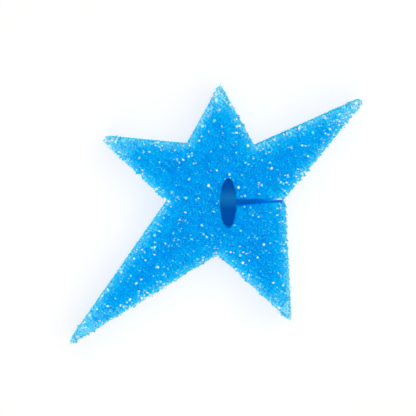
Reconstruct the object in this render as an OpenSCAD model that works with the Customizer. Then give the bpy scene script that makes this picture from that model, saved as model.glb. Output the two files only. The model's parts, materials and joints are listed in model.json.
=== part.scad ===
// A cleaning sponge: a lopsided five-armed star cut right through a slab of coarse
// open-cell foam. An upright oval slot goes through its middle, and the cut that
// let the blade in is left as a slit from the slot to the notch on the right.
// The star lies flat. X runs along its widest spread, Y up the page, Z out of it.
// Bearings are in degrees from +X, and reaches are from the middle of the slot.

/* [Slab] */
// Thickness of the foam slab
slab_t = 25; // [15:0.5:40]

/* [Right arm] */
// From the middle of the slot to the end of the arm
right_reach = 72.5; // [62:0.5:84]
// Direction of the arm
right_bearing = 37.5; // [32:0.5:42]
// Radius of the blunt end of the arm
right_tip_r = 1.3; // [0.6:0.1:2.5]

/* [Top arm] */
// From the middle of the slot to the end of the arm
top_reach = 50.5; // [42:0.5:60]
// Direction of the arm
top_bearing = 94; // [88:0.5:100]
// Radius of the blunt end of the arm
top_tip_r = 0.8; // [0.6:0.1:2.5]

/* [Left arm] */
// From the middle of the slot to the end of the arm
left_reach = 60; // [50:0.5:70]
// Direction of the arm
left_bearing = 152.5; // [146:0.5:159]
// Radius of the blunt end of the arm
left_tip_r = 1.6; // [0.6:0.1:2.5]

/* [Long lower left arm] */
// From the middle of the slot to the end of the arm
long_reach = 91; // [80:0.5:102]
// Direction of the arm
long_bearing = 221.5; // [216:0.5:227]
// Radius of the blunt end of the arm
long_tip_r = 0.9; // [0.6:0.1:2.5]

/* [Lower right arm] */
// From the middle of the slot to the end of the arm
lower_reach = 57; // [46:0.5:68]
// Direction of the arm
lower_bearing = 298; // [292:0.5:304]
// Radius of the blunt end of the arm
lower_tip_r = 0.8; // [0.6:0.1:2.5]

/* [Notches between the arms] */
// Middle of the slot to the notch between the right and top arms
upper_right_notch = 27; // [23:0.5:32]
// Direction of that notch
upper_right_notch_bearing = 65.5; // [61:0.5:70]
// Middle of the slot to the notch between the top and left arms
upper_left_notch = 31; // [26:0.5:37]
// Direction of that notch
upper_left_notch_bearing = 125; // [120:0.5:130]
// Middle of the slot to the notch between the left and long arms
left_notch = 26.5; // [21:0.5:32]
// Direction of that notch
left_notch_bearing = 178.5; // [173:0.5:184]
// Middle of the slot to the notch between the long and lower arms
bottom_notch = 22.5; // [18:0.5:28]
// Direction of that notch
bottom_notch_bearing = 258.5; // [253:0.5:264]
// Middle of the slot to the mouth of the slit, between the lower and right arms
mouth_notch = 24.5; // [18:0.5:30]
// Direction of the mouth of the slit
mouth_bearing = 4; // [0:0.5:8]
// Radius in the root of each notch
notch_r = 0.8; // [0.3:0.1:2]

/* [Slot and slit] */
// Width of the oval slot
slot_w = 7.2; // [4:0.1:10]
// Height of the oval slot
slot_h = 21.6; // [12:0.1:28]
// Height of the slit above the middle of the slot where the two meet
slit_rise = 1; // [-3:0.1:3]
// Width of the slit where it opens into the slot
slit_w = 1.5; // [0.6:0.1:2.5]
// Width of the slit at its mouth, where the foam springs shut
mouth_w = 0.6; // [0.3:0.1:1.5]
// Radius that wears onto the lip above the mouth
upper_lip_r = 1.2; // [0.4:0.1:3]
// Radius that wears onto the lip below the mouth
lower_lip_r = 2; // [0.4:0.1:3]

/* [Open cells] */
// Spacing of the large open cells on the two faces
cell_pitch = 9; // [7:0.25:14]
// Spacing of the large open cells on the cut walls
wall_cell_pitch = 10; // [7:0.25:14]
// Width across the smallest of these cells
cell_w_min = 1.4; // [0.8:0.1:1.8]
// Width across the largest of these cells
cell_w_max = 2.2; // [1.8:0.1:2.8]
// Depth of these cells
cell_depth = 1.1; // [0.5:0.1:2]
// Foam left between a cell and the nearest edge
cell_margin = 0.5; // [0.3:0.1:2]

/* [Hidden] */
foam_blue = [0.02, 0.62, 0.97];
arc_steps = 8;   // chords in a rounded tip or lip
root_steps = 4;  // chords in the root of a notch
oval_steps = 72; // chords in the oval slot
cell_sides = 6;  // a cut cell shows as a rough hexagon
past = 1;        // how far a cutter runs beyond a face
cell_seed = 41;
slit_root = [0, slit_rise];
mouth = polar(mouth_notch, mouth_bearing);
slit_side = side_of(mouth - slit_root);
lip_above = mouth + slit_side * mouth_w / 2;
lip_below = mouth - slit_side * mouth_w / 2;
root_above = slit_root + slit_side * slit_w / 2;
root_below = slit_root - slit_side * slit_w / 2;
// The rows of this list go round the star with the sun turned back, from the slit
// to the slit: the arm's reach, bearing and tip radius, and the notch on each side.
arms = [
    [right_reach, right_bearing, right_tip_r],
    [top_reach, top_bearing, top_tip_r],
    [left_reach, left_bearing, left_tip_r],
    [long_reach, long_bearing, long_tip_r],
    [lower_reach, lower_bearing, lower_tip_r],
];
roots = [
    lip_above,
    polar(upper_right_notch, upper_right_notch_bearing),
    polar(upper_left_notch, upper_left_notch_bearing),
    polar(left_notch, left_notch_bearing),
    polar(bottom_notch, bottom_notch_bearing),
    lip_below,
];
outline = star_outline();
outline_x = [for (p = outline) p.x];
outline_y = [for (p = outline) p.y];
middle = [min(outline_x) + max(outline_x), min(outline_y) + max(outline_y)] / 2;

function polar(r, a) = r * [cos(a), sin(a)];

// The unit vector a quarter turn to the left of v
function side_of(v) = [-v.y, v.x] / norm(v);

function bearing_of(v) = atan2(v.y, v.x);

// Points along an arc of a circle, from one bearing through a turn
function arc(centre, r, from, turn, steps) =
    [for (i = [0:steps]) centre + polar(r, from + turn * i / steps)];

// The corner at b, between a and c, rounded to radius r
function rounded(a, b, c, r, steps) =
    let (
        to_a = (a - b) / norm(a - b),
        to_c = (c - b) / norm(c - b),
        half = acos(to_a * to_c) / 2,
        centre = b + (to_a + to_c) / norm(to_a + to_c) * r / sin(half),
        from = bearing_of(b + to_a * r / tan(half) - centre),
        to = bearing_of(b + to_c * r / tan(half) - centre),
        turn = (to - from + 540) % 360 - 180
    )
    arc(centre, r, from, turn, steps);

function tip_centre(arm) = polar(arm[0] - arm[2], arm[1]);

// Bearing, from the tip's centre, of the point where a straight side from p meets it
function tangent_bearing(arm, p, side) =
    let (v = p - tip_centre(arm))
    bearing_of(v) + side * acos(arm[2] / norm(v));

function tangent_point(arm, p, side) =
    tip_centre(arm) + polar(arm[2], tangent_bearing(arm, p, side));

// An arm's blunt end, from the side that faces one notch to the side that faces the next
function tip(arm, before, after) =
    let (
        from = tangent_bearing(arm, before, 1),
        to = tangent_bearing(arm, after, -1),
        turn = (to - from + 720) % 360
    )
    arc(tip_centre(arm), arm[2], from, turn, arc_steps);

function tip_of(k) = tip(arms[k], roots[k], roots[k + 1]);

function notch_of(k) =
    rounded(
        tangent_point(arms[k], roots[k + 1], -1),
        roots[k + 1],
        tangent_point(arms[k + 1], roots[k + 1], 1),
        notch_r,
        root_steps
    );

// The whole edge of the star, down one side of the slit and back up the other
function star_outline() =
    let (last = len(arms) - 1)
    concat(
        rounded(root_above, lip_above, tangent_point(arms[0], lip_above, 1), upper_lip_r, arc_steps),
        [for (k = [0:last - 1]) each concat(tip_of(k), notch_of(k))],
        tip_of(last),
        rounded(tangent_point(arms[last], lip_below, -1), lip_below, root_below, lower_lip_r, arc_steps),
        [root_below, root_above]
    );

function oval(w, h) =
    [for (i = [0:oval_steps - 1]) let (a = 360 * i / oval_steps) [w / 2 * cos(a), h / 2 * sin(a)]];

function distance_to_side(p, a, b) =
    let (t = max(0, min(1, (p - a) * (b - a) / ((b - a) * (b - a)))))
    norm(p - a - t * (b - a));

function distance_to_edge(p, edge) =
    min([for (i = [0:len(edge) - 1]) distance_to_side(p, edge[i], edge[(i + 1) % len(edge)])]);

// True where a line from p along +X crosses the edge an odd number of times
function is_inside(p, edge) =
    let (
        crossings = [
            for (i = [0:len(edge) - 1])
                let (a = edge[i], b = edge[(i + 1) % len(edge)])
                if ((a.y > p.y) != (b.y > p.y)
                    && p.x < a.x + (b.x - a.x) * (p.y - a.y) / (b.y - a.y)) 1
        ]
    )
    len(crossings) % 2 == 1;

function is_clear(p, room, slot_edge) =
    is_inside(p, outline) && !is_inside(p, slot_edge)
    && distance_to_edge(p, outline) > room && distance_to_edge(p, slot_edge) > room;

// One cut-open foam cell, from a surface at z = 0 down into the foam
module open_cell(width, turn) {
    translate([0, 0, -cell_depth])
        rotate(turn)
            cylinder(h = cell_depth + past, d = width, $fn = cell_sides);
}

// Cells scattered over one face: a grid of them, each moved, sized and turned by chance
module face_cells(seed) {
    slot_edge = oval(slot_w, slot_h);
    columns = ceil((max(outline_x) - min(outline_x)) / cell_pitch);
    rows = ceil((max(outline_y) - min(outline_y)) / cell_pitch);
    count = (columns + 1) * (rows + 1);
    stray = cell_pitch * 0.32;
    dx = rands(-stray, stray, count, seed);
    dy = rands(-stray, stray, count, seed + 1);
    width = rands(cell_w_min, cell_w_max, count, seed + 2);
    turn = rands(0, 360 / cell_sides, count, seed + 3);
    for (i = [0:columns], j = [0:rows]) {
        n = i * (rows + 1) + j;
        p = [min(outline_x) + i * cell_pitch + dx[n], min(outline_y) + j * cell_pitch + dy[n]];
        if (is_clear(p, width[n] / 2 + cell_margin, slot_edge))
            translate(p) open_cell(width[n], turn[n]);
    }
}

// Cells along the cut wall that runs from a to b, with the foam on its left
module wall_cells(a, b, seed) {
    columns = floor((norm(b - a) - cell_w_max) / wall_cell_pitch);
    rows = max(1, floor((slab_t - cell_w_max) / wall_cell_pitch));
    pitch_x = norm(b - a) / (columns + 1);
    pitch_z = slab_t / rows;
    count = max(1, (columns + 1) * rows);
    stray = min(pitch_x, pitch_z) / 2 - cell_w_max / 2 - cell_margin;
    dx = rands(-stray, stray, count, seed);
    dz = rands(-stray, stray, count, seed + 1);
    width = rands(cell_w_min, cell_w_max, count, seed + 2);
    turn = rands(0, 360 / cell_sides, count, seed + 3);
    translate(a)
        rotate(bearing_of(b - a))
            for (i = [0:columns], j = [0:rows - 1]) {
                n = i * rows + j;
                translate([(i + 0.5) * pitch_x + dx[n], 0, (j + 0.5) * pitch_z + dz[n]])
                    rotate([90, 0, 0])
                        open_cell(width[n], turn[n]);
            }
}

module star_sponge() {
    last = len(arms) - 1;
    color(foam_blue)
        translate(-middle)
            difference() {
                linear_extrude(slab_t) polygon(outline);
                translate([0, 0, -past])
                    linear_extrude(slab_t + 2 * past) polygon(oval(slot_w, slot_h));
                translate([0, 0, slab_t]) face_cells(cell_seed);
                mirror([0, 0, 1]) face_cells(cell_seed + 10);
                for (k = [0:last]) {
                    wall_cells(roots[k], tangent_point(arms[k], roots[k], 1), cell_seed + 20 + k);
                    wall_cells(tangent_point(arms[k], roots[k + 1], -1), roots[k + 1], cell_seed + 30 + k);
                }
            }
}

star_sponge();
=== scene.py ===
"""A cleaning sponge cut as a lopsided star from a slab of coarse open-cell foam.

The foam is made as the real one is: a net of struts whose four-way joints stand on the
corners of 14-sided cells. The net is cut off at the star's faces and walls, and only its
outer cells are modelled. Behind them stands a closed heart of the same foam, which draws
in towards the tips, where the foam is thin enough to let the light through. A few cells
keep a thin glossy film in a window, and the films' white colour is a painted glint. The
foam's colours hold painted light and shade: paler near its edges and tips, deeper farther in.
"""
import json
import math

import bmesh
import bpy
import numpy as np
from mathutils import Euler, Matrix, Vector
from mathutils.geometry import delaunay_2d_cdt


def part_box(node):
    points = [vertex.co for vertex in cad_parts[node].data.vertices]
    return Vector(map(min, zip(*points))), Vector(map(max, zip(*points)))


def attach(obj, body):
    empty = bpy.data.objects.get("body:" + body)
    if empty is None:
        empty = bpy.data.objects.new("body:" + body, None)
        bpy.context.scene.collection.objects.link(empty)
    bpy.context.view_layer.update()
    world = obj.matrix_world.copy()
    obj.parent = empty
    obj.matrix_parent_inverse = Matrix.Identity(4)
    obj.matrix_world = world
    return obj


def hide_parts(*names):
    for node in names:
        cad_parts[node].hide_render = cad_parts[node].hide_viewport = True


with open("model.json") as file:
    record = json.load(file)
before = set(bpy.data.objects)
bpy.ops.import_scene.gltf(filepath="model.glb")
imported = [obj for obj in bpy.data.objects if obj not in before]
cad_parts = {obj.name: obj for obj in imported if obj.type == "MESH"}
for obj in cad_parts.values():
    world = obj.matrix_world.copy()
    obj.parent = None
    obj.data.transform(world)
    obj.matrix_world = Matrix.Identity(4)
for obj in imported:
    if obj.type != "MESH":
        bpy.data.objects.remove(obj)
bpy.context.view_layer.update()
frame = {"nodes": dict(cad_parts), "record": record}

MM = 0.001
NODE = "star_sponge"
BODY = "root"

# The foam, in millimetres
CELL = 1.85            # across one cell
CELLS_TURNED = (0.45, 0.62, 0.3)  # so that no row of cells lies along a face
WARP = 0.5             # how far the cells are pulled out of line, in cells
WARP_WAVES = (2.3, 3.1, 4.3, 6.1)  # by waves this many cells long
JITTER = 0.14          # and each joint by itself
STRUT_R = 0.16         # from a strut's middle to its corners
STRUT_SPREAD = (0.8, 1.25)  # the thinnest and thickest, times that
NET_DEPTH = 1.75       # how deep the modelled net goes
NET_ROUND = 1.6        # cells this far beyond it are laid out too, in cells
NET_IN_HEART = 0.3     # and how far into the heart at the walls
HEART_INSET = 1.5      # from the faces in to the heart
HEART_FROM_WALL = 0.4  # and from the cut walls
HEART_FROM_SLOT = 0.3  # and from the slot and its slit, which the blade left smoother
HEART_PITCH = 1.6      # size of the heart's faces
HEART_CLEAR = 0.6      # points inside it stay this far from its edge, in those
HEART_OVER = 0.1       # a face may reach past its edge by this
HEART_LOOP = 4         # it has no islands or holes as short round as this, in cells
FIELD_STEP = 0.3       # grid on which the distance to the cut edge is kept
SEED = 7

# How the net is cut
CUT_CLEAR = 0.12       # no joint is nearer the cut than this, but for the frayed ones
BLADE_CUT = 0.02       # how unevenly the struts were cut in the slot and slit, in strut lengths
CLEAN_CUT = 0.15       # on the faces and the outer walls
FRAYED = 0.3           # and along the star's frayed edges
STUB = (0.15, 1.5)     # the shortest and longest stub that a cut leaves
CAP_NARROWER = 0.15    # a stub is narrower at its end by this share
BLADE_NEARER = 0.1     # the slot or slit is this much nearer than the star's outer edge
FRAY_TOWARDS = (0.6, -0.8)  # the walls that face this way are frayed, and the tips
FRAY_FACING = -0.2     # down to this cosine between the two
FRAY_DOWN = 8.0        # as far as this below a face
FRAY_REACH = 1.5       # and no farther out than this
FRAYED_OUT = 1.1       # some cells stand out by as much as this
FRAYED_IN = 0.7        # and others are torn away by as much as this
FRAYED_BACK = 0.35     # how much the torn ones outweigh those that stand out
TEAR_WAVE = (1.5, 2.6) # lengths of the waves that say where, in plan
TEAR_PATCH = 9.0       # and of a slow one that makes some stretches rougher
TEAR_ROUGHER = 0.5     # by this share
TEAR_MOST = 1.2        # but never by more than this, where 1 is the two reaches above

# The films
FILM_FLAT = 0.45       # a face shows the films that lie this flat, 1 is level
FILM_DEPTH = (-0.05, 0.55)  # a film's middle lies this deep
FILM_JOINT_OUT = 0.45  # and none of its joints is farther out than this
FILM_SHARE = 0.20      # share of those windows that keep a film
FILM_SHARE_AT_RIM = 0.8  # and how much greater it is at the star's edge
FILM_SHARE_ON_WALL = 0.06
FILM_SPREAD = (0.3, 0.95)  # how much of its window a film fills
FILM_HALF = 0.06       # half a film's thickness
GLEAM = 0.8            # how white the films are painted, a painted glint
GLEAM_AT_RIM = 2.0     # and how much whiter the painted glint is at the star's edge
FILM_RIM = 3.0         # what is greater at the edge dies away over this distance from it

# The arms' tips and the colours that depend on them
TIP_APART = 12.0       # an arm's tip is farther out than all the edge within this
TIP_THIN = 9.5         # foam is as thin as its arm is wide there, squared, over this
TIP_TAPER = (1.8, 4.0) # the heart draws in by this much more at a tip, dying away over this
TIP_PIECE = 7.0        # the tips are cut off as a piece of their own here
PALE_DOWN = 11.0       # a wall is as pale all over as the upper face is this far from its edge, painted light through the foam
TIP_LIGHT = 0.9        # and painted paler, as light through the thin foam, by this share at a tip
TIP_PALE = 16.0        # that dies away over this distance, and so does the next
TONE_AT_TIP = 0.6      # how much more often a strut is pale there, as painted light through the thin tip
TONE_BIAS = 1.7        # the higher, the fewer pale struts
TONE_ALONE = 0.35      # share of its tone that a joint doesn't have from its cell
HEART_BUMP = (0.6, 0.4)  # how strongly the heart's cells show, and how deep they look

# The photograph's frame
PHOTO_PX = 416
MM_PER_PX = 0.43
SLOT_PX = (228.4, 203.4)
CAMERA_FAR = 1500.0    # a long lens, from high above
CAMERA_LEAN = (-0.4, 2.4)  # degrees towards +X and +Y
SENSOR = 36.0
SLOT_CLEAR = 21.0      # everything nearer the slot's middle than this is slot or slit

# Light finds its way through the foam in many steps
FOAM_BOUNCES = 24

# The floor, and how much of it the camera sees as plain white
FLOOR_ACROSS = 6       # metres
FLOOR_WHITE = (0.98, 0.95, 0.92)
PLAIN_WHITE = (1.0, 0.995, 0.995)
PLAIN_SHARE = 0.63

# The oval of floor that shows only through the slot and slit: how far right of the slot
# its middle lies, half its width and height, and how soft its edge is in shares of those
UNDER_SLOT = (7.0, 16.0, 15.0)
UNDER_EDGE = (1.0, 1.05)
# Painted shade: the floor in that oval is coloured dark blue
SLOT_FLOOR_PAINTED_SHADE = (0.0, 0.10, 0.25)

# Its painted blue glow, an emission that stands for light through the foam, which is paler in a streak
# across the slot, this far up from its middle
SLOT_PAINTED_GLOW = (0.0, 0.033, 0.19)
STREAK_PAINTED_GLOW = (0.007, 0.12, 0.28)
STREAK_UP, STREAK_WIDE = 1.4, 5.0
STREAK_LONG = 1e6      # it has no ends
SLIT_FLOOR_PAINTED_GLOW = [          # painted glow along the slit, in millimetres from the slot's middle
    (3.7, (0.0, 0.070, 0.25)),
    (10.0, (0.0, 0.078, 0.26)),
    (13.6, (0.0, 0.105, 0.36)),
    (17.0, (0.0, 0.16, 0.46)),
    (19.6, (0.01, 0.25, 0.55)),
    (21.0, (0.12, 0.45, 0.70)),
    (22.3, (0.75, 0.85, 0.92)),
]
SLIT_BEGINS = 0.1      # the slot's painted glow gives way to the slit's over this distance

# The slit from its inner end to its mouth: its middle line, half its width, and how far
# its lower lip is worn back
SLIT_FROM, SLIT_TO = (4.0, 1.12, 0), (21.0, 1.61, 0)
SLIT_HALF = (0.68, 0.36)
SLIT_WORN = (1.6, 0.8)
WORN_ALONG = (-0.05, 1.15)  # shares of its length
WORN_REACH = (-0.2, 3.0)    # and distances from the unworn lip

# The light between the slit's walls
SLIT_GLOW_HIGH = 23.0
SLIT_GLOW = [          # each from here out to the mouth, where the foam lets more light through
    (4.0, (0.0, 0.07, 0.14)),
    (12.5, (0.0, 0.08, 0.04)),
    (15.5, (0.0, 0.28, 0.12)),
    (18.0, (0.02, 0.60, 0.25)),
]


def slot_place():
    """Middle of the oval slot."""
    return Vector(next(m["pos_m"] for m in frame["record"]["mounts"] if m["name"] == "slot"))


def cut_line(node):
    """The star's edge on its upper face, as one closed line of points in millimetres.

    It runs round the arms, in along the slit, round the slot and out again.
    """
    bm = bmesh.new()
    bm.from_mesh(frame["nodes"][node].data)
    bmesh.ops.remove_doubles(bm, verts=bm.verts, dist=1e-7)
    top = max(v.co.z for v in bm.verts)
    links = {}
    for edge in bm.edges:
        if min(v.co.z for v in edge.verts) < top - 1e-6:
            continue
        flat = [abs(f.normal.z) > 0.99 for f in edge.link_faces]
        if flat.count(True) == 1:
            a, b = (v.index for v in edge.verts)
            links.setdefault(a, []).append(b)
            links.setdefault(b, []).append(a)
    loops = []
    while links:
        here = next(iter(links))
        loop = []
        while here is not None:
            loop.append(here)
            beyond = [n for n in links.pop(here) if n in links]
            here = beyond[0] if beyond else None
        loops.append(loop)
    bm.verts.ensure_lookup_table()
    lines = [np.array([bm.verts[i].co[:2] for i in loop]) / MM for loop in loops]
    bm.free()
    return max(lines, key=lambda p: np.ptp(p[:, 0]))


def plan_distance(points, line):
    """Signed distance in plan from each point to the cut line, positive in the foam."""
    away = np.full(len(points), 1e9)
    inside = np.zeros(len(points), bool)
    for a, b in zip(line, np.roll(line, -1, axis=0)):
        along = b - a
        t = np.clip((points - a) @ along / (along @ along), 0, 1)
        away = np.minimum(away, np.hypot(*(points - a - t[:, None] * along).T))
        if a[1] != b[1]:
            spans = (a[1] > points[:, 1]) != (b[1] > points[:, 1])
            cross_x = a[0] + along[0] * (points[:, 1] - a[1]) / along[1]
            inside ^= spans & (points[:, 0] < cross_x)
    return np.where(inside, away, -away)


class Slab:
    """The star slab: how far any point is from its cut edge and from its nearest surface."""

    def __init__(self, node):
        low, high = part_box(node)
        self.low_z, self.high_z = low[2] / MM, high[2] / MM
        margin = 3 * CELL
        self.line = cut_line(node)
        self.start = self.line.min(axis=0) - margin
        shape = np.ceil((self.line.max(axis=0) + margin - self.start) / FIELD_STEP).astype(int) + 1
        xs = self.start[0] + FIELD_STEP * np.arange(shape[0])
        ys = self.start[1] + FIELD_STEP * np.arange(shape[1])
        grid = np.stack(np.meshgrid(xs, ys, indexing="ij"), -1).reshape(-1, 2)
        middle = np.array(slot_place()[:2]) / MM
        out = np.hypot(*(self.line - middle).T)
        self.field = self.worn_slit(plan_distance(grid, self.line), grid - middle).reshape(shape)
        self.rim_field = plan_distance(grid, self.line[out > SLOT_CLEAR]).reshape(shape)
        apart = np.hypot(*(self.line[:, None] - self.line[None]).transpose(2, 0, 1))
        farthest = np.where(apart < TIP_APART, out[None], 0).max(axis=1)
        tips = self.line[(out >= farthest) & (out > out.max() / 2)]
        from_tips = [np.hypot(*(grid - tip).T) for tip in tips]
        self.tip_field = np.min(from_tips, axis=0).reshape(shape)
        rim = self.rim_field.ravel()
        widening = [rim[away < TIP_APART].max() / TIP_APART for away in from_tips]
        wide = np.min([away * grows for away, grows in zip(from_tips, widening)], axis=0)
        self.thin_field = (wide ** 2 / TIP_THIN).reshape(shape)
        drawn_in = HEART_FROM_WALL + TIP_TAPER[0] * np.exp(-self.tip_field / TIP_TAPER[1])
        self.heart_field = np.minimum(self.rim_field - drawn_in, self.field - HEART_FROM_SLOT)

    def worn_slit(self, away, places):
        """The slit's lower lip is worn back a little from where the blade left it."""
        x, y = places.T
        share = (x - SLIT_FROM[0]) / (SLIT_TO[0] - SLIT_FROM[0])
        middle = SLIT_FROM[1] + share * (SLIT_TO[1] - SLIT_FROM[1])
        half = SLIT_HALF[0] + share * (SLIT_HALF[1] - SLIT_HALF[0])
        worn = SLIT_WORN[0] + share * (SLIT_WORN[1] - SLIT_WORN[0])
        to_lip = middle - half - y
        beside = (share > WORN_ALONG[0]) & (share < WORN_ALONG[1])
        beside &= (to_lip > WORN_REACH[0]) & (to_lip < WORN_REACH[1])
        return np.where(beside, np.minimum(away, to_lip - worn), away)

    def read(self, field, points):
        """A grid's value at each point, between its four nearest places."""
        at = (points[:, :2] - self.start) / FIELD_STEP
        at = np.clip(at, 0, np.array(field.shape) - 1.001)
        i, j = at.astype(int).T
        u, v = (at - np.floor(at)).T
        return (field[i, j] * (1 - u) * (1 - v) + field[i + 1, j] * u * (1 - v)
                + field[i, j + 1] * (1 - u) * v + field[i + 1, j + 1] * u * v)

    def edge(self, points):
        """Distance in plan to the cut edge, slot and slit included."""
        return self.read(self.field, points)

    def rim(self, points):
        """Distance in plan to the star's outer edge alone."""
        return self.read(self.rim_field, points)

    def thin(self, points):
        """Distance in plan to the outer edge, made less near the thin tips."""
        return np.minimum(self.rim(points), self.read(self.thin_field, points))

    def below(self, points):
        """Distance to the nearer of the two faces."""
        return np.minimum(self.high_z - points[:, 2], points[:, 2] - self.low_z)

    def corner(self, points, inset=0):
        """Distance to the nearest corner between a face, or this far in from it, and the outer wall.

        It is counted double downwards, as far as the walls and thin tips stay pale. The foam's painted
        light and shade follow it.
        """
        down = (2 * (self.below(points) - inset)).clip(0, PALE_DOWN)
        down *= 1 - TIP_LIGHT * np.exp(-self.read(self.tip_field, points) / TIP_PALE)
        return np.hypot(self.thin(points).clip(0), down)

    def depth(self, points):
        """Distance to the nearest face or wall, positive in the foam."""
        return np.minimum(self.edge(points), self.below(points))

    def in_heart(self, points):
        """Distance in plan to the heart's edge, positive in the heart."""
        return self.read(self.heart_field, points)

    def heart_line(self):
        """Closed lines round the heart in plan."""
        f = self.heart_field
        points, links = {}, {}

        def crossing(a, b):
            key = (a, b)
            if key not in points:
                t = f[a] / (f[a] - f[b])
                points[key] = self.start + FIELD_STEP * (np.array(a) + t * (np.array(b) - np.array(a)))
            return key

        positive = f > 0
        mixed = ((positive[:-1, :-1] != positive[1:, :-1]) | (positive[:-1, :-1] != positive[:-1, 1:])
                 | (positive[:-1, :-1] != positive[1:, 1:]))
        for i, j in zip(*np.nonzero(mixed)):
            corners = [(i, j), (i + 1, j), (i + 1, j + 1), (i, j + 1)]
            sides = [(0, 1), (1, 2), (3, 2), (0, 3)]
            met = [crossing(corners[a], corners[b]) for a, b in sides
                   if positive[corners[a]] != positive[corners[b]]]
            for a, b in zip(met[::2], met[1::2]):
                links.setdefault(a, []).append(b)
                links.setdefault(b, []).append(a)
        loops = []
        while links:
            here = next(iter(links))
            loop = []
            while here is not None:
                loop.append(points[here])
                beyond = [n for n in links.pop(here) if n in links]
                here = beyond[0] if beyond else None
            loops.append(np.array(loop))
        return [p for p in loops if len(p) * FIELD_STEP > HEART_LOOP * CELL]


def evenly(loop, pitch):
    """The closed line again, with its points a pitch apart."""
    closed = np.vstack([loop, loop[:1]])
    run = np.r_[0, np.cumsum(np.hypot(*np.diff(closed, axis=0).T))]
    count = max(8, int(run[-1] / pitch))
    at = np.linspace(0, run[-1], count, endpoint=False)
    return np.stack([np.interp(at, run, closed[:, k]) for k in range(2)], -1)


def new_mesh(name, points, faces):
    """A mesh object with flat faces, from points in millimetres and triangles."""
    mesh = bpy.data.meshes.new(name)
    mesh.vertices.add(len(points))
    mesh.vertices.foreach_set("co", (np.asarray(points, float) * MM).ravel())
    mesh.loops.add(3 * len(faces))
    mesh.loops.foreach_set("vertex_index", np.asarray(faces, np.int32).ravel())
    mesh.polygons.add(len(faces))
    mesh.polygons.foreach_set("loop_start", np.arange(0, 3 * len(faces), 3, dtype=np.int32))
    mesh.update(calc_edges=True)
    mesh.validate()
    mesh.polygons.foreach_set("use_smooth", np.zeros(len(mesh.polygons), bool))
    piece = bpy.data.objects.new(name, mesh)
    bpy.context.scene.collection.objects.link(piece)
    return piece


def paint(piece, **values):
    """Keeps a number for each point of the mesh, for its material to read."""
    for name, value in values.items():
        layer = piece.data.attributes.new(name, "FLOAT", "POINT")
        layer.data.foreach_set("value", np.asarray(value, np.float32))


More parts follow.
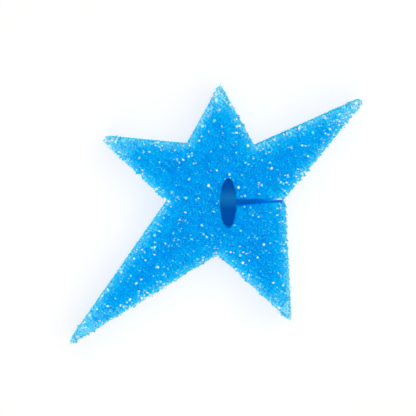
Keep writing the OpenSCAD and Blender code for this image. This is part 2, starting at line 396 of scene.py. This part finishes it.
class FoamNet:
    """Joints and struts of the foam, with four struts at each joint.

    Lattice places are counted in quarter cells. The corners of a 14-sided cell are the
    places (0, 1, 2) in any order and with any signs, and its neighbours share them.
    """

    def __init__(self, slab, rng):
        self.slab = slab
        corners = [c for c in np.ndindex(4, 4, 4) if sorted(c) in ([0, 1, 2], [0, 2, 3])]
        self.slot_of = {c: m for m, c in enumerate(corners)}
        steps = [s for s in np.ndindex(3, 3, 3) if sum(v != 1 for v in s) == 2]
        steps = [tuple(v - 1 for v in s) for s in steps]
        turn = np.array(Euler(CELLS_TURNED).to_matrix())
        middle = np.array([0, 0, (slab.low_z + slab.high_z) / 2])
        reach = np.abs(np.r_[slab.line.max(axis=0), slab.line.min(axis=0), slab.high_z]).max() * 1.5
        half = int(reach / CELL) + 1
        blocks = np.stack(np.meshgrid(*[np.arange(-half, half + 1)] * 3, indexing="ij"), -1)
        blocks = blocks.reshape(-1, 3)
        place = (blocks + 0.5) * CELL @ turn.T + middle
        near = slab.depth(place)
        blocks = blocks[(near > -NET_ROUND * CELL) & (near < NET_DEPTH + NET_ROUND * CELL)]
        self.index = np.full((2 * half + 3,) * 3, -1)
        self.index[tuple((blocks + half + 1).T)] = np.arange(len(blocks))
        self.half, self.blocks, self.count = half, blocks, len(corners)
        lattice = (4 * blocks[:, None, :] + np.array(corners)[None]).reshape(-1, 3)
        place = lattice * CELL / 4 @ turn.T
        bent = place + middle + self.warp(place, rng)
        self.place = bent + rng.normal(0, JITTER * CELL / 2, place.shape)
        self.next = np.full((len(place), 4), -1)
        for m, corner in enumerate(corners):
            found = [s for s in steps if tuple((np.array(corner) + s) % 4) in self.slot_of]
            for k, step in enumerate(found):
                self.next[m::self.count, k] = self.joint(np.array(corner) + step)
        alone = rng.uniform(0, 1, len(place))
        shared = rng.uniform(0, 1, (len(blocks), 2)).repeat(self.count // 2, axis=1).ravel()
        # Painted light: struts are more often pale near the tips, as if light came through the thin
        # foam
        from_tip = slab.read(slab.tip_field, self.place)
        pale = np.exp(-from_tip / TIP_PALE)
        mixed = TONE_ALONE * alone + (1 - TONE_ALONE) * shared
        mixed = mixed * mixed * (3 - 2 * mixed)  # most are near one end or the other
        self.tone = mixed ** (TONE_BIAS * (1 - TONE_AT_TIP * pale))
        self.depth = slab.depth(self.place)
        self.edge = slab.edge(self.place)
        from_face = slab.below(self.place)
        rim = slab.rim(self.place)
        step = [rim - slab.rim(self.place + [x, y, 0]) for x, y in ((FIELD_STEP, 0), (0, FIELD_STEP))]
        facing = step[0] * FRAY_TOWARDS[0] + step[1] * FRAY_TOWARDS[1]
        open_side = facing > FRAY_FACING * FIELD_STEP
        self.in_tip = from_tip < TIP_PIECE
        open_side |= self.in_tip
        frayed = (rim < NET_DEPTH) & (rim > -FRAY_REACH) & (from_face < FRAY_DOWN) & open_side
        self.raggedness = np.where(frayed, FRAYED, CLEAN_CUT)
        torn = frayed * (self.tear(rng) - FRAYED_BACK)
        cut_at = CUT_CLEAR - FRAYED_OUT * torn.clip(0) - FRAYED_IN * torn.clip(None, 0)
        self.raggedness[(self.edge < NET_DEPTH) & (rim > self.edge + BLADE_NEARER)] = BLADE_CUT
        self.kept = (self.next >= 0).all(axis=1) & (self.depth > cut_at) & (from_face > CUT_CLEAR)
        self.kept &= (from_face < NET_DEPTH) | (slab.in_heart(self.place) < NET_IN_HEART)

    def joint(self, corner):
        """Index of the joint at this place in each block, or -1 where it isn't kept."""
        block = self.index[tuple((self.blocks + corner // 4 + self.half + 1).T)]
        return np.where(block < 0, -1, block * self.count + self.slot_of[tuple(corner % 4)])

    def warp(self, place, rng):
        """Slow waves that pull the cells out of line and make some larger than others."""
        move = np.zeros_like(place)
        for wave in WARP_WAVES:
            for axis in range(3):
                heading = rng.normal(size=3)
                heading *= 2 * math.pi / (wave * CELL) / np.linalg.norm(heading)
                phase = rng.uniform(0, 2 * math.pi)
                move[:, axis] += np.sin(place @ heading + phase) * WARP * CELL / 4
        return move

    def tear(self, rng):
        """Below 0 where the wall is torn away and above 0 where it stands out."""
        tear = np.zeros(len(self.place))
        for wave in TEAR_WAVE * 2:
            way = rng.uniform(0, math.pi)
            run = self.place[:, :2] @ (math.cos(way), math.sin(way))
            tear += np.sin(run * 2 * math.pi / wave + rng.uniform(0, 2 * math.pi)) / 2
        patch = np.sin(self.place[:, 0] * 2 * math.pi / TEAR_PATCH)
        return (tear * (1 + TEAR_ROUGHER * patch)).clip(-TEAR_MOST, TEAR_MOST)

    def windows(self):
        """The six joints round each six-sided window of the cells."""
        rim = np.array([(0, 1, 2), (1, 0, 2), (2, 0, 1), (2, 1, 0), (1, 2, 0), (0, 2, 1)])
        signs = np.array([s for s in np.ndindex(2, 2, 2)]) * 2 - 1
        rings = [np.stack([self.joint(c * s) for c in rim], -1) for s in signs]
        rings = np.concatenate(rings)
        return rings[(rings >= 0).all(axis=1)]


def strut_mesh(net, region, rng):
    """Points, faces and painted values of the struts at one region's joints.

    Each joint is four points, one behind each of its struts, and each strut runs from
    the three points round it to the three at its other end. A strut that leaves the
    region ends in a cap: at the cut surface, half way, or in the heart. Those that reach
    the floor are pressed flat on it.
    """
    joints = np.nonzero(region)[0]
    order = np.full(len(net.place), -1)
    order[joints] = np.arange(len(joints))
    other = net.next[joints]
    reach = net.place[other] - net.place[joints][:, None]
    length = np.linalg.norm(reach, axis=2)
    heading = reach / length[:, :, None]
    thick = STRUT_R * rng.uniform(*STRUT_SPREAD, len(joints))
    hubs = net.place[joints][:, None] - thick[:, None, None] * heading
    points = [hubs.reshape(-1, 3)]
    own = np.arange(4 * len(joints)).reshape(-1, 4)
    flat = points[0]
    rings = np.empty((len(joints), 4, 3), int)
    for k in range(4):
        a, b, c = (own[:, m] for m in range(4) if m != k)
        turned = np.cross(flat[b] - flat[a], flat[c] - flat[a])
        back = (turned * heading[:, k]).sum(axis=1) < 0
        rings[:, k] = np.stack([a, np.where(back, c, b), np.where(back, b, c)], -1)
    faces = []

    def side(near, far):
        for k in range(3):
            n = (k + 1) % 3
            faces.append(np.stack([near[:, k], near[:, n], far[:, n]], -1))
            faces.append(np.stack([near[:, k], far[:, n], far[:, k]], -1))

    source = [joints.repeat(4)]
    ended = [np.zeros(4 * len(joints))]
    base = len(flat)
    for k in range(4):
        far = other[:, k]
        whole = region[far] & (joints < far)
        mine, yours = np.nonzero(whole)[0], order[far[whole]]
        matching = net.next[far[whole]] == joints[whole][:, None]
        theirs = rings[yours, matching.argmax(axis=1)][:, ::-1]
        ours = rings[mine, k]
        gaps = [np.linalg.norm(flat[ours] - flat[np.roll(theirs, s, axis=1)], axis=2).sum(axis=1)
                for s in range(3)]
        best = np.argmin(gaps, axis=0)
        theirs = np.stack([np.roll(theirs, s, axis=1) for s in range(3)])[best, np.arange(len(best))]
        side(ours, theirs)
        stub = ~region[far]
        mine, beyond = np.nonzero(stub)[0], far[stub]
        here, there = net.depth[joints[stub]], net.depth[beyond]
        share = np.where(net.kept[beyond], 0.5, 1.0)
        cut = there <= here.clip(0)
        ragged = net.raggedness[joints[stub]]
        at_cut = here / np.maximum(here - there, 1e-6) + rng.normal(ragged / 2, ragged)
        share = np.where(cut & ~net.kept[beyond], at_cut.clip(*STUB), share)
        ours = rings[mine, k]
        ends = flat[ours] + (share * length[mine, k])[:, None, None] * heading[mine, k][:, None]
        ends = ends.mean(axis=1, keepdims=True) * CAP_NARROWER + ends * (1 - CAP_NARROWER)
        theirs = base + np.arange(3 * len(mine)).reshape(-1, 3)
        base += 3 * len(mine)
        points.append(ends.reshape(-1, 3))
        source.append(joints[mine].repeat(3))
        ended.append((cut & ~net.kept[beyond] & (ragged > BLADE_CUT)).astype(float).repeat(3))
        side(ours, theirs)
        faces.append(theirs)
    points = np.concatenate(points)
    points[:, 2] = points[:, 2].clip(net.slab.low_z)
    tone = net.tone[np.concatenate(source)]
    return points, np.concatenate(faces), tone, np.concatenate(ended)


def foam_web(name, net, region, rng):
    """One region's struts, as a piece."""
    points, faces, tone, cut = strut_mesh(net, region, rng)
    piece = new_mesh(name, points, faces)
    paint(piece, corner_mm=net.slab.corner(points), tone=tone, cut=cut)
    return piece


def cell_films(name, net, rng):
    """The films left in some windows, as thin lenses held by the struts round them."""
    rings = net.windows()
    corners = net.place[rings]
    centre = corners.mean(axis=1)
    depth = net.slab.depth(centre)
    rim, edge = net.slab.rim(centre), net.slab.edge(centre)
    share = FILM_SHARE + FILM_SHARE_AT_RIM * np.exp(-net.slab.thin(centre).clip(0) / FILM_RIM)
    on_wall = edge <= np.minimum(net.slab.high_z - centre[:, 2], centre[:, 2] - net.slab.low_z)
    share = np.where(on_wall, FILM_SHARE_ON_WALL, share) * ~(on_wall & (rim - edge > BLADE_NEARER))
    across = np.cross(corners[:, 2] - corners[:, 0], corners[:, 4] - corners[:, 0])
    across /= np.linalg.norm(across, axis=1)[:, None]
    flat = np.abs(across[:, 2])
    fits = (depth > FILM_DEPTH[0]) & (depth < FILM_DEPTH[1])
    fits &= net.depth[rings].min(axis=1) > -FILM_JOINT_OUT
    fits &= (flat > FILM_FLAT) | on_wall
    fits &= rng.uniform(0, 1, len(rings)) < share
    corners, centre, across = corners[fits], centre[fits], across[fits]
    spread = rng.uniform(*FILM_SPREAD, len(centre))[:, None, None]
    rim = centre[:, None] + (corners - centre[:, None]) * spread
    faced = np.cross(rim[:, 1] - rim[:, 0], rim[:, 2] - rim[:, 0])
    flip = (faced * across).sum(axis=1) < 0
    across[flip] *= -1
    count = len(centre)
    bulge = FILM_HALF * across
    points = np.concatenate([rim.reshape(-1, 3), centre + bulge, centre - bulge])
    points[:, 2] = points[:, 2].clip(net.slab.low_z)
    own = np.arange(6 * count).reshape(-1, 6)
    above, below = 6 * count + np.arange(count), 7 * count + np.arange(count)
    faces = []
    for k in range(6):
        n = (k + 1) % 6
        faces.append(np.stack([own[:, k], own[:, n], above], -1))
        faces.append(np.stack([own[:, n], own[:, k], below], -1))
    piece = new_mesh(name, points, np.concatenate(faces))
    # Painted glint: the films' whiteness, whiter near the star's edge
    whiter = GLEAM + GLEAM_AT_RIM * np.exp(-net.slab.thin(centre).clip(0) / FILM_RIM)
    gleam = 1 - rng.uniform(0, 1, count) ** whiter
    paint(piece, gleam=np.concatenate([gleam.repeat(6), gleam, gleam]))
    return piece


def foam_heart(name, slab):
    """The closed body of foam behind the net, a little inside every cut surface."""
    loops = [evenly(loop, HEART_PITCH) for loop in slab.heart_line()]
    steps = [np.arange(slab.line[:, k].min(), slab.line[:, k].max(), HEART_PITCH) for k in range(2)]
    inner = np.stack(np.meshgrid(*steps, indexing="ij"), -1).reshape(-1, 2)
    inner = inner[slab.in_heart(inner) > HEART_CLEAR * HEART_PITCH]
    rim = np.concatenate(loops)
    sides, at = [], 0
    for loop in loops:
        ids = at + np.arange(len(loop))
        sides += list(zip(ids.tolist(), np.roll(ids, -1).tolist()))
        at += len(loop)
    flat = [Vector(p) for p in np.concatenate([rim, inner])]
    points, _, faces, _, _, _ = delaunay_2d_cdt(flat, sides, [], 0, 1e-5)
    points, faces = np.array([p[:] for p in points]), np.array(faces)
    faces = faces[slab.in_heart(points[faces].mean(axis=1)) > -HEART_OVER]
    spans = points[faces]
    turned = np.cross(spans[:, 1] - spans[:, 0], spans[:, 2] - spans[:, 0]) < 0
    faces[turned] = faces[turned][:, ::-1]
    half_edges = {(a, b) for f in faces.tolist() for a, b in zip(f, f[1:] + f[:1])}
    rims = np.array([(a, b) for a, b in half_edges if (b, a) not in half_edges])
    low, high = slab.low_z + HEART_INSET, slab.high_z - HEART_INSET
    layers = max(2, round((high - low) / HEART_PITCH))
    count = len(points)
    rim_ids = np.unique(rims)
    ring_of = np.full(count, -1)
    ring_of[rim_ids] = np.arange(len(rim_ids))
    stack = [np.c_[points, np.full(count, low)], np.c_[points, np.full(count, high)]]
    for k in range(1, layers):
        z = low + (high - low) * k / layers
        stack.append(np.c_[points[rim_ids], np.full(len(rim_ids), z)])

    def ring(k, ids):
        if k == 0:
            return ids
        if k == layers:
            return ids + count
        return 2 * count + (k - 1) * len(rim_ids) + ring_of[ids]

    everything = [faces[:, ::-1], faces + count]
    for k in range(layers):
        a, b = ring(k, rims[:, 0]), ring(k, rims[:, 1])
        c, d = ring(k + 1, rims[:, 1]), ring(k + 1, rims[:, 0])
        everything += [np.stack([a, b, c], -1), np.stack([a, c, d], -1)]
    stack = np.concatenate(stack)
    piece = new_mesh(name, stack, np.concatenate(everything))
    bm = bmesh.new()
    bm.from_mesh(piece.data)
    loose = [v for v in bm.verts if not v.link_faces]
    bmesh.ops.delete(bm, geom=loose, context="VERTS")
    bm.to_mesh(piece.data)
    bm.free()
    spots = np.empty(3 * len(piece.data.vertices))
    piece.data.vertices.foreach_get("co", spots)
    paint(piece, corner_mm=slab.corner(spots.reshape(-1, 3) / MM, HEART_INSET))
    return piece


def seen_directly(nodes, links):
    """1 for what the camera sees, in a reflection or through glass too, and 0 for other light."""
    path = nodes.new("ShaderNodeLightPath")
    seen = path.outputs["Is Camera Ray"]
    for ray in ("Is Glossy Ray", "Is Transmission Ray"):
        either = nodes.new("ShaderNodeMath")
        either.operation = "MAXIMUM"
        links.new(seen, either.inputs[0])
        links.new(path.outputs[ray], either.inputs[1])
        seen = either.outputs[0]
    return seen


def tree(name):
    """A new material with its shader, nodes and links."""
    material = bpy.data.materials.new(name)
    material.use_nodes = True
    nodes, links = material.node_tree.nodes, material.node_tree.links
    return material, nodes["Principled BSDF"], nodes, links


def surface(shader, rough, shine=0.0):
    """How rough a surface is, the same all over, and how much it shines."""
    shader.inputs["Roughness"].default_value = rough
    shader.inputs["Specular IOR Level"].default_value = shine


def reading(nodes, name):
    """The number that the mesh keeps under this name."""
    reader = nodes.new("ShaderNodeAttribute")
    reader.attribute_name = name
    return reader.outputs["Fac"]


def ramp(nodes, links, source, stops):
    """Colours along a number, from the first stop to the last."""
    span = nodes.new("ShaderNodeMapRange")
    span.inputs["From Min"].default_value = stops[0][0]
    span.inputs["From Max"].default_value = stops[-1][0]
    links.new(source, span.inputs["Value"])
    band = nodes.new("ShaderNodeValToRGB")
    marks = band.color_ramp.elements
    while len(marks) < len(stops):
        marks.new(1.0)
    for mark, (at, colour) in zip(marks, stops):
        mark.position = (at - stops[0][0]) / (stops[-1][0] - stops[0][0])
        mark.color = (*colour, 1)
    links.new(span.outputs["Result"], band.inputs["Fac"])
    return band.outputs["Color"]


def blend_by(nodes, links, share, first, second):
    """A mix of two colours."""
    mix = nodes.new("ShaderNodeMix")
    mix.data_type = "RGBA"
    links.new(share, mix.inputs["Factor"])
    links.new(first, mix.inputs["A"])
    links.new(second, mix.inputs["B"])
    return mix.outputs["Result"]


# Foam colours by the distance from the star's outer corners, in millimetres. They hold painted
# light and shade: paler near the edges and tips, where light comes through the thin foam, deeper
# farther in
DEEP_TONE_PAINTED_SHADING = [
    (0.0, (0.02, 0.72, 0.98)),
    (1.5, (0.0, 0.55, 0.96)),
    (4.0, (0.0, 0.465, 0.94)),
    (10.0, (0.0, 0.38, 0.91)),
]
PALE_TONE_PAINTED_SHADING = [
    (0.0, (0.95, 1.0, 0.99)),
    (1.5, (0.30, 0.88, 0.98)),
    (4.0, (0.005, 0.72, 0.96)),
    (10.0, (0.0, 0.61, 0.95)),
]
CUT_END_HIGHLIGHT = (0.04, 0.80, 1.0)  # painted highlight that a cut strut's end adds

# The heart's paler spots, painted light where light comes through the foam; each cell's middle is
# painted deeper, as painted shade
LIT_THROUGH = [
    (0.0, (0.22, 0.88, 0.98)),
    (1.5, (0.02, 0.76, 0.96)),
    (4.0, (0.0, 0.66, 0.96)),
    (10.0, (0.0, 0.58, 0.95)),
]
FILM_GLINT_COLOURS = [       # by how much a film gleams, from a blue veil to white; the white is a painted glint
    (0.0, (0.02, 0.60, 0.99)),
    (0.35, (0.16, 0.75, 0.99)),
    (0.7, (0.45, 0.88, 1.0)),
    (1.0, (0.92, 0.98, 1.0)),
]


def strut_finish():
    """Blue foam struts, no two quite alike, with painted light and shade: paler near the cut edges and
    tips, deeper farther in, and brighter at cut ends.
    """
    material, shader, nodes, links = tree("foam_struts")
    away = reading(nodes, "corner_mm")
    deep = ramp(nodes, links, away, DEEP_TONE_PAINTED_SHADING)
    pale = ramp(nodes, links, away, PALE_TONE_PAINTED_SHADING)
    colour = blend_by(nodes, links, reading(nodes, "tone"), deep, pale)
    ends = nodes.new("ShaderNodeMix")
    ends.data_type = "RGBA"
    ends.blend_type = "SCREEN"
    links.new(reading(nodes, "cut"), ends.inputs["Factor"])
    links.new(colour, ends.inputs["A"])
    ends.inputs["B"].default_value = (*CUT_END_HIGHLIGHT, 1)
    links.new(ends.outputs["Result"], shader.inputs["Base Color"])
    surface(shader, rough=0.55)
    return material


def heart_finish():
    """The same foam where it is packed too deep to see between the struts, with painted light and
    shade: paler near the edges and at the cells' rims, deeper in each cell's middle.
    """
    material, shader, nodes, links = tree("foam_heart")
    away = reading(nodes, "corner_mm")
    deep = ramp(nodes, links, away, DEEP_TONE_PAINTED_SHADING)
    pale = ramp(nodes, links, away, LIT_THROUGH)
    place = nodes.new("ShaderNodeTexCoord")
    cells = nodes.new("ShaderNodeTexVoronoi")
    cells.inputs["Scale"].default_value = 1 / (CELL * MM)
    links.new(place.outputs["Object"], cells.inputs["Vector"])
    colour = blend_by(nodes, links, cells.outputs["Distance"], deep, pale)
    links.new(colour, shader.inputs["Base Color"])
    relief = nodes.new("ShaderNodeBump")
    relief.inputs["Strength"].default_value = HEART_BUMP[0]
    relief.inputs["Distance"].default_value = HEART_BUMP[1] * MM
    links.new(cells.outputs["Distance"], relief.inputs["Height"])
    links.new(relief.outputs["Normal"], shader.inputs["Normal"])
    surface(shader, rough=0.7)
    return material


def film_finish():
    """Thin glossy films that catch the light; their white colour is a painted glint."""
    material, shader, nodes, links = tree("cell_films")
    colour = ramp(nodes, links, reading(nodes, "gleam"), FILM_GLINT_COLOURS)
    links.new(colour, shader.inputs["Base Color"])
    surface(shader, rough=0.3, shine=0.7)
    return material


def dress(piece, finish, foam):
    """Gives a piece its finish and its place in the frame."""
    piece.data.materials.append(finish)
    foam.objects.link(piece)
    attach(piece, BODY)
    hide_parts(NODE)


def regions(net):
    """The net's pieces: the tips, the halves of the two faces and the thirds of the cut wall."""
    kept = net.kept & ~net.in_tip
    z = net.place[:, 2]
    to_top, to_under = net.slab.high_z - z, z - net.slab.low_z
    top = kept & (to_top <= np.minimum(net.edge, to_under))
    under = kept & ~top & (to_under <= net.edge)
    wall = kept & ~top & ~under
    around = np.degrees(np.arctan2(net.place[:, 1], net.place[:, 0])) % 360
    right = net.place[:, 0] > slot_place().x / MM
    parts = {"foam_upper_face_right": top & right, "foam_upper_face_left": top & ~right,
             "foam_underside_right": under & right, "foam_underside_left": under & ~right,
             "foam_tips": net.kept & net.in_tip}
    walls = ("foam_wall_upper_right", "foam_wall_left", "foam_wall_lower")
    third = 360 / len(walls)
    for k, name in enumerate(walls):
        parts[name] = wall & (around >= third * k) & (around < third * (k + 1))
    return parts


def make_sponge():
    """All the foam, and a set of its pieces for the lamps that light nothing else."""
    foam = bpy.data.collections.new("foam")
    slab = Slab(NODE)
    rng = np.random.default_rng(SEED)
    net = FoamNet(slab, rng)
    struts = strut_finish()
    for name, region in regions(net).items():
        dress(foam_web(name, net, region, rng), struts, foam)
    dress(cell_films("cell_films", net, rng), film_finish(), foam)
    dress(foam_heart("foam_heart", slab), heart_finish(), foam)
    return slab, foam


def scaled(nodes, links, place, middle, across):
    """Distance from a place on the floor, in its own widths."""
    fit = nodes.new("ShaderNodeMapping")
    fit.inputs["Location"].default_value = [-m / a for m, a in zip(middle, across)] + [0]
    fit.inputs["Scale"].default_value = [1 / a for a in across] + [0]
    away = nodes.new("ShaderNodeVectorMath")
    away.operation = "LENGTH"
    links.new(place, fit.inputs["Vector"])
    links.new(fit.outputs["Vector"], away.inputs[0])
    return away.outputs["Value"]


def add_floor():
    """White studio floor, and a set of it alone for its own lamp.

    Painted shade and painted glow: under the slot the floor is coloured dark blue and glows blue,
    standing in for light that has come through the foam.
    """
    bpy.ops.object.select_all(action="DESELECT")
    bpy.ops.mesh.primitive_plane_add(size=FLOOR_ACROSS, location=(0, 0, 0))
    floor = bpy.context.object
    floor.name = "floor"
    material, shader, nodes, links = tree("floor_white")
    place = nodes.new("ShaderNodeTexCoord").outputs["Object"]
    slot = slot_place()
    right_of_slot, *half = (size * MM for size in UNDER_SLOT)
    under = scaled(nodes, links, place, (slot.x + right_of_slot, slot.y), half)
    up, spread = slot.y + STREAK_UP * MM, (STREAK_LONG * MM, STREAK_WIDE * MM)
    streak = scaled(nodes, links, place, (slot.x, up), spread)

    def across_edge(inside, outside):
        return ramp(nodes, links, under, list(zip(UNDER_EDGE, (inside, outside))))

    in_slot = ramp(nodes, links, streak, [(0.0, STREAK_PAINTED_GLOW), (1.0, SLOT_PAINTED_GLOW)])
    parted = nodes.new("ShaderNodeSeparateXYZ")
    links.new(place, parted.inputs["Vector"])
    right = parted.outputs["X"]
    in_slit = ramp(nodes, links, right, [(slot.x + at * MM, colour) for at, colour in SLIT_FLOOR_PAINTED_GLOW])
    begins = slot.x + SLIT_FLOOR_PAINTED_GLOW[0][0] * MM
    before = begins - SLIT_BEGINS * MM
    beyond = ramp(nodes, links, right, [(before, (0, 0, 0)), (begins, (1, 1, 1))])
    glow = blend_by(nodes, links, beyond, in_slot, in_slit)
    # Painted shade and painted glow in the oval under the slot, plain floor elsewhere
    links.new(across_edge(SLOT_FLOOR_PAINTED_SHADE, FLOOR_WHITE), shader.inputs["Base Color"])
    links.new(glow, shader.inputs["Emission Color"])
    links.new(across_edge((1, 1, 1), (0, 0, 0)), shader.inputs["Emission Strength"])
    surface(shader, rough=0.9)
    plain = nodes.new("ShaderNodeEmission")
    plain.inputs["Color"].default_value = (*PLAIN_WHITE, 1)
    share = nodes.new("ShaderNodeMath")
    share.operation = "MULTIPLY"
    links.new(seen_directly(nodes, links), share.inputs[0])
    links.new(across_edge((0, 0, 0), (PLAIN_SHARE,) * 3), share.inputs[1])
    mix = nodes.new("ShaderNodeMixShader")
    links.new(share.outputs[0], mix.inputs["Fac"])
    links.new(shader.outputs[0], mix.inputs[1])
    links.new(plain.outputs[0], mix.inputs[2])
    links.new(mix.outputs[0], nodes["Material Output"].inputs["Surface"])
    floor.data.materials.append(material)
    alone = bpy.data.collections.new("floor")
    alone.objects.link(floor)
    return alone


def add_sun(name, bearing, height, strength, spread, only=None, shaded_by=None):
    """A soft light from a compass bearing (0 is +X) and a height above the floor."""
    lamp = bpy.data.lights.new(name, "SUN")
    lamp.energy = strength
    lamp.angle = math.radians(spread)
    light = bpy.data.objects.new(name, lamp)
    light.rotation_euler = Euler((0, math.radians(90 - height), math.radians(bearing)))
    light.light_linking.receiver_collection = only
    light.light_linking.blocker_collection = shaded_by
    bpy.context.scene.collection.objects.link(light)


def light_the_slit():
    """Blue light out of the foam between the slit's walls, which no lamp outside can reach."""
    slot = slot_place()
    inner, end = slot + Vector(SLIT_FROM) * MM, slot + Vector(SLIT_TO) * MM
    for number, (out, colour) in enumerate(SLIT_GLOW):
        start = inner.lerp(end, (out - SLIT_FROM[0]) / (SLIT_TO[0] - SLIT_FROM[0]))
        along = end - start
        name = f"foam_glow_in_slit_{number}"
        lamp = bpy.data.lights.new(name, "AREA")
        lamp.shape = "RECTANGLE"
        lamp.size = along.length
        lamp.size_y = SLIT_GLOW_HIGH * MM
        lamp.color = colour
        lamp.energy = math.pi * lamp.size * lamp.size_y
        light = bpy.data.objects.new(name, lamp)
        light.location = (start + end) / 2
        light.rotation_euler = Euler((math.radians(-90), 0, math.atan2(along.y, along.x)))
        light.visible_camera = False
        light.visible_glossy = False
        bpy.context.scene.collection.objects.link(light)


def add_lights(foam, floor):
    """Two soft lamps from above, fills for the foam and the floor, and a white sky to look at."""
    add_sun("overhead", bearing=60, height=78, strength=1.83, spread=70)
    add_sun("key", bearing=-10, height=62, strength=0.65, spread=70)
    add_sun("fill_front", bearing=-100, height=45, strength=0.4, spread=40)
    add_sun("fill_left", bearing=170, height=20, strength=0.65, spread=40, only=foam)
    add_sun("fill_back", bearing=90, height=20, strength=0.2, spread=40, only=foam)
    add_sun("fill_low", bearing=-140, height=20, strength=0.7, spread=40, only=foam)
    add_sun("fill_floor", bearing=0, height=90, strength=0.75, spread=20, only=floor, shaded_by=floor)
    light_the_slit()
    world = bpy.data.worlds.new("studio")
    bpy.context.scene.world = world
    world.use_nodes = True
    nodes, links = world.node_tree.nodes, world.node_tree.links
    sky = nodes["Background"]
    links.new(seen_directly(nodes, links), sky.inputs["Strength"])
    sky.inputs["Color"].default_value = (1, 1, 1, 1)


def add_camera(slab):
    """Looks down on the star as the photograph does."""
    slot = slot_place()
    across = (PHOTO_PX / 2 - SLOT_PX[0]) * MM_PER_PX
    up = (SLOT_PX[1] - PHOTO_PX / 2) * MM_PER_PX
    aim = Vector((slot.x + across * MM, slot.y + up * MM, slab.high_z * MM))
    lean = [math.tan(math.radians(a)) for a in CAMERA_LEAN]
    data = bpy.data.cameras.new("camera")
    data.sensor_width = SENSOR
    data.lens = SENSOR * CAMERA_FAR / (PHOTO_PX * MM_PER_PX)
    data.clip_end = 100
    camera = bpy.data.objects.new("camera", data)
    camera.location = aim + Vector((lean[0], lean[1], 1)) * CAMERA_FAR * MM
    camera.rotation_euler = Euler((math.radians(-CAMERA_LEAN[1]), math.radians(CAMERA_LEAN[0]), 0))
    bpy.context.scene.collection.objects.link(camera)
    bpy.context.scene.camera = camera


bpy.context.scene.cycles.diffuse_bounces = FOAM_BOUNCES
bpy.context.scene.cycles.max_bounces = FOAM_BOUNCES
slab, foam = make_sponge()
floor = add_floor()
add_lights(foam, floor)
add_camera(slab)
bpy.context.scene.view_settings.view_transform = "Standard"
